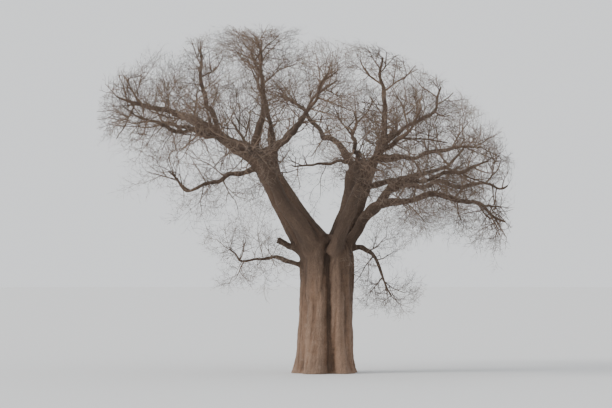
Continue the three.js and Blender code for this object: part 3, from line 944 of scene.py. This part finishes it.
def breakEnd(bm, ahead, limb):
    # splinters of uneven length round a rotten hollow
    end = max(bm.faces, key=lambda face: face.calc_center_median().dot(ahead))
    rim = list(end.verts)
    for number, corner in enumerate(rim):
        turn = math.pi * 2 * number / len(rim)
        wave = stubForm["uneven"] * float(chance(limb.key, useSplinter + number))
        wave += sum(height * math.sin(turn * count + start) for count, start, height in stubForm["waves"])
        corner.co += ahead * stubForm["splinter"] * wave
    bmesh.ops.inset_region(bm, faces=[end], thickness=limb.tip * stubForm["wall"], use_even_offset=True)
    middle = end.calc_center_median()
    for corner in end.verts:
        corner.co += ahead * ((middle - corner.co).dot(ahead) - stubForm["hollow"])


def skinCores(cores):
    # one even skin round all the cores, as arrays of corners, quads and edges
    bm = bmesh.new()
    for mesh in cores:
        bm.from_mesh(mesh)
        bpy.data.meshes.remove(mesh)
    bmesh.ops.recalc_face_normals(bm, faces=bm.faces)
    mesh = finishedMesh(bm, "core")
    core = placeObject("core", mesh)
    remesh = core.modifiers.new("Remesh", "REMESH")
    remesh.mode = "VOXEL"
    remesh.voxel_size = barkForm["voxel"]
    graph = bpy.context.evaluated_depsgraph_get()
    skin = core.evaluated_get(graph).to_mesh()
    corners = np.empty(len(skin.vertices) * 3)
    skin.vertices.foreach_get("co", corners)
    quads = np.empty(len(skin.loops), np.int64)
    skin.loops.foreach_get("vertex_index", quads)
    edges = np.empty(len(skin.edges) * 2, np.int64)
    skin.edges.foreach_get("vertices", edges)
    bpy.data.objects.remove(core)
    bpy.data.meshes.remove(mesh)
    return corners.reshape(-1, 3), quads.reshape(-1, 4), edges.reshape(-1, 2)


def neighbourMean(values, edges, degrees):
    # the mean of each corner's neighbours
    flat = values.reshape(len(values), -1)
    total = np.empty_like(flat)
    for column in range(flat.shape[1]):
        one = np.bincount(edges[:, 0], flat[edges[:, 1], column], len(flat))
        other = np.bincount(edges[:, 1], flat[edges[:, 0], column], len(flat))
        total[:, column] = (one + other) / degrees
    return total.reshape(values.shape)


def cornerNormals(corners, quads):
    a, b, c, d = (corners[quads[:, k]] for k in range(4))
    faceNormals = np.cross(c - a, d - b)
    total = np.zeros_like(corners)
    for k in range(4):
        for axis in range(3):
            total[:, axis] += np.bincount(quads[:, k], faceNormals[:, axis], len(corners))
    return total / np.maximum(np.linalg.norm(total, axis=1, keepdims=True), 1e-12)


def nearOwners(corners):
    # for each corner of the skin: the limb or trunk that it lies on, where along it, and how thick that is
    chunk = 4000
    leastRadius = 0.05
    farOff = 9.0
    bearings = np.degrees(np.arctan2(corners[:, 1], corners[:, 0]))
    lean = trunkForm["lean"] * corners[:, 2] / trunkForm["neckHeight"]
    out = np.hypot(corners[:, 0] - lean, corners[:, 1])
    ratio = out / np.maximum(trunkRadius(np.maximum(corners[:, 2], 0), bearings), leastRadius)
    owner = np.full(len(corners), -1)
    second = np.full(len(corners), farOff)
    along = corners[:, 2].copy()
    thick = np.full(len(corners), trunkForm["radius"])
    place = np.stack([corners[:, 0] - lean, corners[:, 1]], 1)
    for index, limb in enumerate(limbs.values()):
        path, radii, ways = limbRun(limb, barkForm["ownerGap"])
        radii = np.maximum(radii, limb.tip)
        reach = radii.max() * barkForm["nearReach"]
        near = ((corners > path.min(0) - reach) & (corners < path.max(0) + reach)).all(1)
        chosen = np.flatnonzero(near)
        for first in range(0, len(chosen), chunk):
            part = chosen[first:first + chunk]
            gaps = np.linalg.norm(corners[part][:, None] - path, axis=2) / radii
            best = gaps.argmin(1)
            least = gaps[np.arange(len(part)), best]
            nearer = least < ratio[part]
            second[part] = np.where(nearer, ratio[part], np.minimum(second[part], least))
            won = part[nearer]
            at = best[nearer]
            ratio[won] = least[nearer]
            owner[won] = index
            along[won] = ways[at]
            thick[won] = radii[at]
            ahead = unit(path[np.minimum(at + 1, len(path) - 1)] - path[np.maximum(at - 1, 0)])
            side = unit(np.cross(ahead, limb.across))
            off = corners[won] - path[at]
            along[won] += (off * ahead).sum(1)
            place[won, 0] = (off * side).sum(1)
            place[won, 1] = (off * np.cross(ahead, side)).sum(1)
    return owner, along, thick, place, second - ratio


def ripples(places):
    return np.fromiter(map(noise.noise, places.tolist()), float, len(places))


def barkRelief(owner, along, thick, place):
    # how far the bark stands out at each corner. Each limb has its own part of the noise
    around = unit(place + 1e-9)
    height = np.zeros(len(owner))
    shift = (owner + 1)[:, None] * np.array([3.7, 1.9, 5.3])
    for layer in reliefLayers:
        flat = around * layer["round"] if layer["round"] else place / layer["wide"]
        waves = ripples(np.column_stack([flat, along / layer["long"]]) + shift)
        if layer["grooves"]:
            waves = np.minimum(np.sqrt(np.abs(waves) + grooveForm["soft"]), grooveForm["top"])
            waves -= grooveForm["level"]
        height += waves * layer["height"] * np.minimum(1, thick / layer["full"])
    return height


def ageAndShadeOf(owner, corners, thick):
    # 1 for the old pale bark of the trunk, less for the darker neck, limbs and thin wood. The neck's darkness
    # is painted shade under the fork, with stains; the limbs' is darker young bark and painted shade
    low, high, least = barkForm["darkNeck"]
    trunk = 1 - (1 - least) * np.clip((corners[:, 2] - low) / (high - low), 0, 1)
    return np.where(owner < 0, trunk, np.minimum(thick * barkForm["limbAgeAndShade"], least))


def hollows(corners, quads, edges, degrees, passes, depth):
    # how far each corner lies below, or above, its wider surroundings
    smooth = corners.copy()
    for step in range(passes):
        smooth = neighbourMean(smooth, edges, degrees)
    return ((smooth - corners) * cornerNormals(smooth, quads)).sum(1) / depth


def buildBark(trunkMaterial, limbMaterial):
    cores = [coreTrunk()] + [coreLimb(limb) for limb in limbs.values()]
    corners, quads, edges = skinCores(cores)
    degrees = np.bincount(edges.ravel(), minlength=len(corners))
    print("skin:", len(corners), "corners")
    for step in range(barkForm["evenPasses"]):
        for share in barkForm["evenSteps"]:
            corners += share * (neighbourMean(corners, edges, degrees) - corners)
    owner, along, thick, place, lead = nearOwners(corners)
    crease = np.exp(-((lead / barkForm["filletReach"]) ** 2))
    thin = np.clip((barkForm["swayThick"][0] - thick) / np.subtract(*barkForm["swayThick"]), 0, 1)
    calm = np.clip(lead / barkForm["calmReach"], 0, 1)
    # painted shade: the neck under the fork and the limbs are darkened, besides their darker young bark and
    # stains
    ageAndShade = ageAndShadeOf(owner, corners, thick)
    for step in range(barkForm["blendPasses"]):
        ageAndShade = neighbourMean(ageAndShade, edges, degrees)
        thin = neighbourMean(thin, edges, degrees)
    height = barkRelief(owner, along, thick, place) * (1 - barkForm["creaseRelief"] * crease)
    for step in range(barkForm["reliefPasses"]):
        height = 0.5 * (height + neighbourMean(height, edges, degrees))
    for turn in range(barkForm["filletPasses"]):
        step = barkForm["filletStep"] * crease[:, None]
        corners += step * (neighbourMean(corners, edges, degrees) - corners)
    normals = cornerNormals(corners, quads)
    under = (normals[:, 2] < -0.5) & (corners[:, 2] < barkForm["footHeight"])
    corners += normals * height[:, None]
    corners = mix(corners, swayed(corners), thin[:, None])
    corners[:, 2] = np.where(under, 0, np.maximum(corners[:, 2], 0))
    print("relief from", height.min().round(3), "to", height.max().round(3))

    # painted shade: how deep each corner lies in a hollow or in the cleft darkens its colour below, partly as
    # dirt and partly as painted shade
    fine = hollows(corners, quads, edges, degrees, barkForm["finePasses"], barkForm["fineDepth"])
    broad = hollows(corners, quads, edges, degrees, barkForm["broadPasses"], barkForm["broadDepth"])
    hollow = np.clip(barkForm["fineShare"] * np.clip(fine, -1, 1) + np.clip(broad, -1, 1), -1, 1)
    hollow = neighbourMean(hollow, edges, degrees)
    normals = cornerNormals(corners, quads)

    families = [limb.name for limb in limbs.values() if limb.onTrunk]
    collar = [limbForm["collar"] if limb.forks else barkForm["noCollar"] for limb in limbs.values()]
    family = np.array([families.index(limb.family) + 1 for limb in limbs.values()])
    onTrunk = (owner < 0) | (along < np.array(collar)[owner])
    piece = np.where(onTrunk, 0, family[owner])
    facePiece = piece[quads].max(1)
    grain = np.column_stack([place, along])
    for number in range(len(families) + 1):
        faces = quads[facePiece == number]
        used, flat = np.unique(faces, return_inverse=True)
        name = "trunk_bark" if number == 0 else families[number - 1] + "_bark"
        mesh = closedMesh(name, corners[used], flat.reshape(-1, 4))
        addField(mesh, "grain", "FLOAT_VECTOR", "vector", grain[used])
        addField(mesh, "hollow", "FLOAT", "value", hollow[used])
        addField(mesh, "ageAndShade", "FLOAT", "value", ageAndShade[used])
        addField(mesh, "calm", "FLOAT", "value", calm[used])
        fans = len(mesh.vertices) - len(used)
        mesh.normals_split_custom_set_from_vertices(normals[used].tolist() + [(0, 0, 0)] * fans)
        print(name, len(faces) * 2, "triangles")
        if number == 0:
            addPiece(name, mesh, [trunkMaterial], ["trunk"])
        else:
            nodes = [limb.name for limb in limbs.values() if limb.family == families[number - 1]]
            addPiece(name, mesh, [limbMaterial], nodes)


def closedMesh(name, corners, quads):
    # a part of the skin, with a fan of faces over each open end, where the next piece goes on
    mesh = meshFromArrays(name, corners, quads)
    bm = bmesh.new()
    bm.from_mesh(mesh)
    rims = [edge for edge in bm.edges if edge.is_boundary]
    lids = bmesh.ops.edgeloop_fill(bm, edges=rims, use_smooth=True)["faces"]
    bmesh.ops.poke(bm, faces=lids, center_mode="MEAN")
    bm.to_mesh(mesh)
    bm.free()
    return mesh


def addField(mesh, name, kind, key, values):
    # a value for each corner of the skin. The fans' middles, inside the wood, take the first one
    field = mesh.attributes.new(name, kind, "POINT")
    fans = len(mesh.vertices) - len(values)
    values = np.concatenate([values, np.repeat(values[:1], fans, axis=0)])
    field.data.foreach_set(key, values.astype(np.float32).ravel())


def putNode(tree, kind, sockets=(), **settings):
    # a node with its settings, and its sockets set or linked
    node = tree.nodes.new("ShaderNode" + kind)
    for name, value in settings.items():
        setattr(node, name, value)
    for name, value in dict(sockets).items():
        if isinstance(value, bpy.types.NodeSocket):
            tree.links.new(value, node.inputs[name])
        else:
            node.inputs[name].default_value = value
    return node


def blended(tree, share, one, other):
    # a colour between two others: 0, 6 and 7 are a Mix node's sockets for colours
    return putNode(tree, "Mix", {0: share, 6: one, 7: other}, data_type="RGBA").outputs[2]


def scaled(tree, vector, stretch):
    return putNode(tree, "VectorMath", {0: vector, 1: stretch}, operation="MULTIPLY").outputs[0]


def noiseAt(tree, vector, stretch, detail):
    sockets = {"Vector": scaled(tree, vector, stretch), "Scale": 1, "Detail": detail, "Roughness": 0.6}
    return putNode(tree, "TexNoise", sockets).outputs["Fac"]


def ranged(tree, value, source, target):
    sockets = {"Value": value, "From Min": source[0], "From Max": source[1], "To Min": target[0]}
    return putNode(tree, "MapRange", {**sockets, "To Max": target[1]}).outputs[0]


def times(tree, one, other):
    return putNode(tree, "Math", {0: one, 1: other}, operation="MULTIPLY").outputs[0]


def plus(tree, one, other):
    return putNode(tree, "Math", {0: one, 1: other}, operation="ADD").outputs[0]


def shaded(tree, colour, strength):
    return putNode(tree, "VectorMath", {0: colour, "Scale": strength}, operation="SCALE").outputs[0]


def attributeOf(tree, name, output):
    return putNode(tree, "Attribute", attribute_name=name).outputs[output]


def newGroup(name, given, results):
    group = bpy.data.node_groups.new(name, "ShaderNodeTree")
    for label, kind, value in given:
        socket = group.interface.new_socket(label, in_out="INPUT", socket_type="NodeSocket" + kind)
        socket.default_value = value
    for label, kind in results:
        group.interface.new_socket(label, in_out="OUTPUT", socket_type="NodeSocket" + kind)
    return group, group.nodes.new("NodeGroupInput").outputs, group.nodes.new("NodeGroupOutput").inputs


# How fine each pattern of the bark is across the grain, twice, and along it, and how much detail it has
barkPatterns = {
    "patches": ((0.9, 0.9, 0.5), 5),
    "streaks": ((4.2, 4.2, 0.32), 7),
    "speckle": ((24, 24, 17), 3),
    "spots": ((3.1, 3.1, 2.3), 4),
    "wrinkles": ((1.6, 1.6, 13), 4),
    "pits": ((38, 38, 30), 3),
}


def makeBarkTone():
    # the colour of the bark: pale and pinkish where it is old, darker on thin wood, streaked with stains, and
    # darkened with painted shade on the neck under the fork, on the limbs and in its hollows, where it is
    # partly dirt too
    given = [
        ("Old", "Color", (0.2, 0.15, 0.12, 1)),
        ("YoungAndShaded", "Color", (0.07, 0.06, 0.05, 1)),
        ("StainAndShade", "Color", (0.04, 0.03, 0.025, 1)),
        ("Lichen", "Color", (0.3, 0.27, 0.24, 1)),
        ("Streaks", "Float", 0.5),
        ("Spots", "Float", 0.4),
    ]
    group, given, results = newGroup("bark tone", given, [("Color", "Color"), ("Roughness", "Float")])
    grain = attributeOf(group, "grain", "Vector")
    hollow = attributeOf(group, "hollow", "Fac")
    ageAndShade = attributeOf(group, "ageAndShade", "Fac")
    names = ("patches", "streaks", "speckle", "spots")
    patches, streaks, speckle, spots = (noiseAt(group, grain, *barkPatterns[name]) for name in names)
    calm = attributeOf(group, "calm", "Fac")
    # painted shade: the neck and the limbs take the darker colour, partly young bark and stains and partly
    # painted shade
    colour = blended(group, ageAndShade, given["YoungAndShaded"], given["Old"])
    change = times(group, ranged(group, patches, (0.33, 0.67), (-0.27, 0.3)), calm)
    colour = shaded(group, colour, plus(group, change, 1))
    streakMask = times(group, ranged(group, streaks, (0.5, 0.68), (0, 1)), given["Streaks"])
    streakMask = times(group, streakMask, calm)
    colour = blended(group, streakMask, colour, given["StainAndShade"])
    spotMask = times(group, ranged(group, spots, (0.58, 0.66), (0, 1)), given["Spots"])
    colour = blended(group, times(group, spotMask, ageAndShade), colour, given["Lichen"])
    backs = times(group, ranged(group, hollow, (-0.05, -0.7), (0, 0.35)), ageAndShade)
    colour = blended(group, backs, colour, given["Lichen"])
    # painted shade: the hollows and the deep cleft are darkened towards the stain colour, partly dirt and
    # partly painted shade
    colour = blended(group, ranged(group, hollow, (0.05, 0.95), (0, 0.5)), colour, given["StainAndShade"])
    colour = shaded(group, colour, ranged(group, speckle, (0.3, 0.7), (0.82, 1.18)))
    group.links.new(colour, results["Color"])
    group.links.new(ranged(group, patches, (0.3, 0.7), (0.76, 0.95)), results["Roughness"])
    return group


def makeBarkSurface():
    # the fine relief, in metres: wrinkles across, cracks along, and pits
    given = [("Wrinkles", "Float", 0.01), ("Cracks", "Float", 0.01), ("Pits", "Float", 0.003)]
    group, given, results = newGroup("bark surface", given, [("Height", "Float")])
    grain = attributeOf(group, "grain", "Vector")
    swirl = putNode(group, "TexNoise", {"Vector": grain, "Scale": 2.3, "Detail": 2}).outputs["Color"]
    bent = putNode(group, "VectorMath", {0: grain, 1: shaded(group, swirl, 0.35)}, operation="ADD").outputs[0]
    wrinkles = noiseAt(group, bent, *barkPatterns["wrinkles"])
    cells = {"Vector": scaled(group, bent, (8, 8, 1.1)), "Scale": 1}
    cracks = putNode(group, "TexVoronoi", cells, feature="DISTANCE_TO_EDGE").outputs["Distance"]
    pits = noiseAt(group, grain, *barkPatterns["pits"])
    height = times(group, wrinkles, given["Wrinkles"])
    height = plus(group, height, times(group, ranged(group, cracks, (0, 0.16), (0, 1)), given["Cracks"]))
    height = plus(group, height, times(group, pits, given["Pits"]))
    height = times(group, height, attributeOf(group, "calm", "Fac"))
    group.links.new(height, results["Height"])
    return group


def makeTwigTone():
    # a twig's own colour, lighter and darker from place to place, and the knobs and scars of its bark
    given = [("Color", "Color", (0.1, 0.08, 0.07, 1)), ("Change", "Float", 0.3), ("Knobs", "Float", 0.002)]
    results = [("Color", "Color"), ("Roughness", "Float"), ("Height", "Float")]
    group, given, results = newGroup("twig tone", given, results)
    spots = putNode(group, "TexCoord").outputs["Object"]
    patches = noiseAt(group, spots, (1.7, 1.7, 1.7), 3)
    knobs = noiseAt(group, spots, (45, 45, 45), 3)
    change = times(group, ranged(group, patches, (0.32, 0.68), (-1, 1)), given["Change"])
    change = plus(group, change, ranged(group, knobs, (0.3, 0.7), (-0.12, 0.12)))
    group.links.new(shaded(group, given["Color"], plus(group, change, 1)), results["Color"])
    group.links.new(ranged(group, patches, (0.3, 0.7), (0.76, 0.92)), results["Roughness"])
    group.links.new(times(group, knobs, given["Knobs"]), results["Height"])
    return group


def newMaterial(name):
    material = bpy.data.materials.new(name)
    material.use_nodes = True
    return material, material.node_tree, material.node_tree.nodes["Principled BSDF"]


def putGroup(tree, group, values):
    node = putNode(tree, "Group", node_tree=group)
    for name, value in values.items():
        node.inputs[name].default_value = value
    return node.outputs


woodShine = 0.3


def finishWood(tree, shader, painted, height, strength):
    bump = putNode(tree, "Bump", {"Height": height, "Distance": 1.0, "Strength": strength})
    tree.links.new(painted["Color"], shader.inputs["Base Color"])
    tree.links.new(painted["Roughness"], shader.inputs["Roughness"])
    tree.links.new(bump.outputs["Normal"], shader.inputs["Normal"])
    shader.inputs["Specular IOR Level"].default_value = woodShine


def barkMaterial(name, look, tone, surface):
    material, tree, shader = newMaterial(name)
    colours = {name: (*look[name], 1) for name in ("Old", "YoungAndShaded", "StainAndShade", "Lichen")}
    painted = putGroup(tree, tone, {**colours, "Streaks": look["Streaks"], "Spots": look["Spots"]})
    raised = putGroup(tree, surface, {name: look[name] for name in ("Wrinkles", "Cracks", "Pits")})
    finishWood(tree, shader, painted, raised["Height"], look["strength"])
    return material


def twigMaterial(name, colour, tone):
    material, tree, shader = newMaterial(name)
    values = {"Color": (*colour, 1), "Change": twigLook["Change"], "Knobs": twigLook["Knobs"]}
    painted = putGroup(tree, tone, values)
    finishWood(tree, shader, painted, painted["Height"], twigLook["strength"])
    return material


barkLook = {
    "Old": (0.167, 0.101, 0.066),
    # the darker bark of the limbs and thin wood, and painted shade on the neck under the fork and on the
    # limbs
    "YoungAndShaded": (0.062, 0.043, 0.032),
    # the dark colour of the streaks of stain, and of the painted shade and dirt in the hollows
    "StainAndShade": (0.033, 0.0225, 0.0165),
    "Lichen": (0.253, 0.178, 0.132),
    "Streaks": 0.5,
    "Spots": 0.45,
    "Wrinkles": 0.02,
    "Cracks": 0.014,
    "Pits": 0.007,
    "strength": 0.9,
}
twigLook = {"Change": 0.3, "Knobs": 0.003, "strength": 0.7}
twigColours = {"dark": (0.105, 0.073, 0.053), "brown": (0.17, 0.12, 0.088), "pinkish": (0.25, 0.187, 0.145)}

tone, surface, twigTone = makeBarkTone(), makeBarkSurface(), makeTwigTone()
trunkMaterial = barkMaterial("trunk bark", barkLook, tone, surface)
limbMaterial = barkMaterial("limb bark", {**barkLook, "Streaks": 0.3, "Cracks": 0.011}, tone, surface)
buildBark(trunkMaterial, limbMaterial)
grown, bunchNames = growCrown()
twigMaterials = [twigMaterial(name + " twig bark", colour, twigTone) for name, colour in twigColours.items()]
buildTwigs(grown, bunchNames, twigMaterials)


# The floor, the light and the camera
studio = {
    "floorRadius": 420,
    "floorColour": (0.64, 0.645, 0.648),
    "floorRoughness": 0.9,
    "skyColour": (0.86, 0.88, 0.9),
    "skyStrength": 1.28,
    "keyFrom": (-1.25, -0.5, 0.85),
    "keyAngle": 24,
    "keyStrength": 2.8,
    "keyColour": (1, 0.965, 0.92),
}
cameraForm = {
    "distance": 105,
    "height": 4.8,
    "aim": (-0.85, 0, 7.55),
    "frameWidth": 27.4,  # metres that the picture is wide at the tree
    "farEnd": 1000,
}


def addFloor():
    bm = bmesh.new()
    bmesh.ops.create_circle(bm, cap_ends=True, segments=128, radius=studio["floorRadius"])
    floor = placeObject("floor", finishedMesh(bm, "floor"))
    material, tree, shader = newMaterial("floor")
    shader.inputs["Base Color"].default_value = (*studio["floorColour"], 1)
    shader.inputs["Roughness"].default_value = studio["floorRoughness"]
    floor.data.materials.append(material)
    floor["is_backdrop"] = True


def addKey():
    light = bpy.data.lights.new("key", "SUN")
    light.angle = math.radians(studio["keyAngle"])
    light.energy = studio["keyStrength"]
    light.color = studio["keyColour"]
    lamp = placeObject("key", light)
    lamp.rotation_euler = Vector(studio["keyFrom"]).to_track_quat("Z", "Y").to_euler()


def addCamera():
    camera = placeObject("camera", bpy.data.cameras.new("camera"))
    camera.data.lens = camera.data.sensor_width * cameraForm["distance"] / cameraForm["frameWidth"]
    camera.data.clip_end = cameraForm["farEnd"]
    camera.location = (0, -cameraForm["distance"], cameraForm["height"])
    aim = Vector(cameraForm["aim"]) - camera.location
    camera.rotation_euler = aim.to_track_quat("-Z", "Y").to_euler()
    bpy.context.scene.camera = camera


addFloor()
addKey()
addCamera()
world = bpy.data.worlds.new("sky")
world.use_nodes = True
world.node_tree.nodes["Background"].inputs["Color"].default_value = (*studio["skyColour"], 1)
world.node_tree.nodes["Background"].inputs["Strength"].default_value = studio["skyStrength"]
bpy.context.scene.world = world
